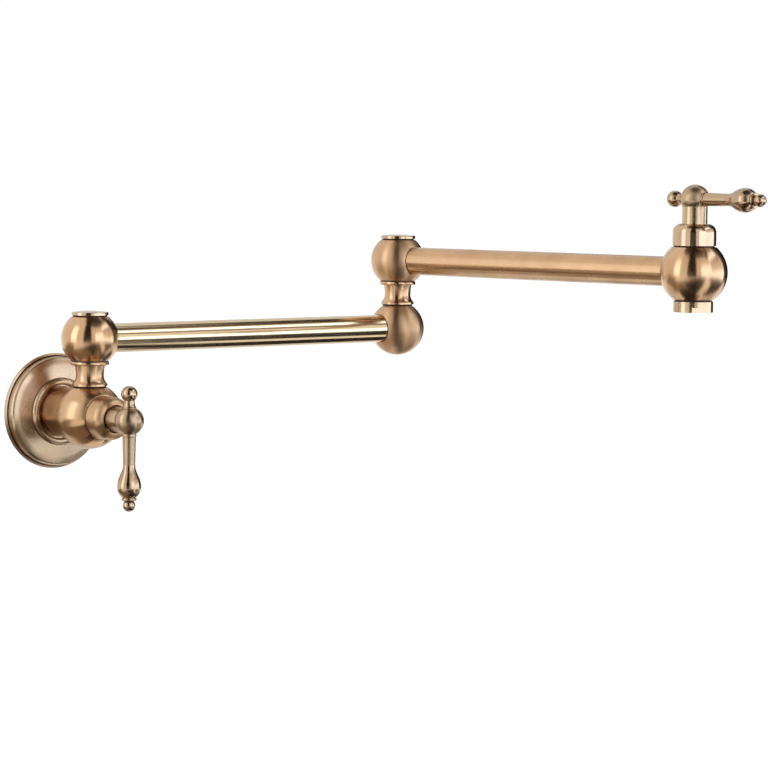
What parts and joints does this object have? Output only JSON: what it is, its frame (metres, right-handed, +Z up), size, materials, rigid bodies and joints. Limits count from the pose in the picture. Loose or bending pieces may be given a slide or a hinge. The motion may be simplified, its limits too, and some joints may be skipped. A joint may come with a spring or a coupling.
{
  "type": "wall mounted pot filler",
  "caption": "Wall mounted pot filler tap with a round flange, two folding tube arms on ball swivels, a lever valve at the wall and a lever valve over the aerator spout.",
  "frame": {"origin": "centre of the wall flange's back face, on the axis of the inlet thread", "axes": "+Z up, +Y into the wall along the inlet thread, -Y out into the room, +X along the wall"},
  "size_m": [0.3622, 0.3763, 0.2144],
  "materials": {
    "brushed_brass": "lathe brushed, antique bronze tone, clear lacquer",
    "polished_brass": "fine polished, antique bronze tone",
    "satin_brass": "satin drawn tube, antique bronze tone",
    "raw_brass": "plain machined brass, inside the body",
    "nitrile_rubber": "moulded black",
    "fibre_washer": "pressed red brown fibre",
    "foam_gasket": "closed cell foam",
    "acetal": "moulded, low friction",
    "white_acetal": "moulded white",
    "alumina_ceramic": "lapped white alumina",
    "stainless_mesh": "woven filter in a rim",
    "black_steel": "blackened steel screw"
  },
  "bodies": {
    "wall_side": {"wall_flange": "brushed_brass", "wall_gasket": "foam_gasket", "flange_o_ring": "nitrile_rubber", "inlet_nipple": "raw_brass", "nipple_washer": "fibre_washer", "inlet_filter": "stainless_mesh", "wall_valve_body": "brushed_brass", "wall_bonnet": "brushed_brass", "wall_cartridge_body": "raw_brass", "wall_fixed_disc": "alumina_ceramic", "wall_disc_seal": "nitrile_rubber", "shoulder_collar": "polished_brass", "shoulder_post": "raw_brass", "shoulder_post_o_rings": "nitrile_rubber", "shoulder_thrust_washer": "acetal", "shoulder_top_washer": "acetal", "shoulder_nut": "raw_brass"},
    "wall_handle": {"wall_handle_hub": "brushed_brass", "wall_handle_lever": "brushed_brass", "wall_handle_finial": "brushed_brass", "wall_set_screw": "black_steel", "wall_spindle": "raw_brass", "wall_spindle_o_ring": "nitrile_rubber", "wall_moving_disc": "alumina_ceramic"},
    "lower_arm": {"shoulder_ball": "brushed_brass", "shoulder_cap": "polished_brass", "lower_arm_tube": "polished_brass", "elbow_lower_ball": "brushed_brass", "elbow_collar": "polished_brass", "elbow_post": "raw_brass", "elbow_post_o_rings": "nitrile_rubber", "elbow_thrust_washer": "acetal", "elbow_top_washer": "acetal", "elbow_nut": "raw_brass"},
    "upper_arm": {"elbow_ball": "brushed_brass", "elbow_cap": "polished_brass", "upper_arm_tube": "satin_brass", "outlet_valve_body": "brushed_brass", "outlet_bonnet": "brushed_brass", "outlet_cartridge_body": "raw_brass", "outlet_fixed_disc": "alumina_ceramic", "outlet_disc_seal": "nitrile_rubber", "aerator_housing": "brushed_brass", "aerator_insert": "white_acetal", "aerator_washer": "nitrile_rubber"},
    "outlet_handle": {"outlet_handle_hub": "brushed_brass", "outlet_handle_lever": "brushed_brass", "outlet_handle_finial": "brushed_brass", "outlet_set_screw": "black_steel", "outlet_spindle": "raw_brass", "outlet_spindle_o_ring": "nitrile_rubber", "outlet_moving_disc": "alumina_ceramic"}
  },
  "joints": [
    {"name": "shoulder_swivel", "type": "hinge", "parent": "wall_side", "child": "lower_arm", "pos_m": [0, -0.0445, 0.0505], "axis": [0, 0, 1], "range_deg": [-180, 0]},
    {"name": "elbow_swivel", "type": "hinge", "parent": "lower_arm", "child": "upper_arm", "pos_m": [0.257, -0.0445, 0.0985], "axis": [0, 0, 1], "continuous": true},
    {"name": "wall_valve_turn", "type": "hinge", "parent": "wall_side", "child": "wall_handle", "pos_m": [0, -0.0445, 0], "axis": [0, 1, 0], "range_deg": [0, 90]},
    {"name": "outlet_valve_turn", "type": "hinge", "parent": "upper_arm", "child": "outlet_handle", "pos_m": [0.30163, -0.2976, 0.0985], "axis": [0, 0, 1], "range_deg": [-84, 6]}
  ]
}
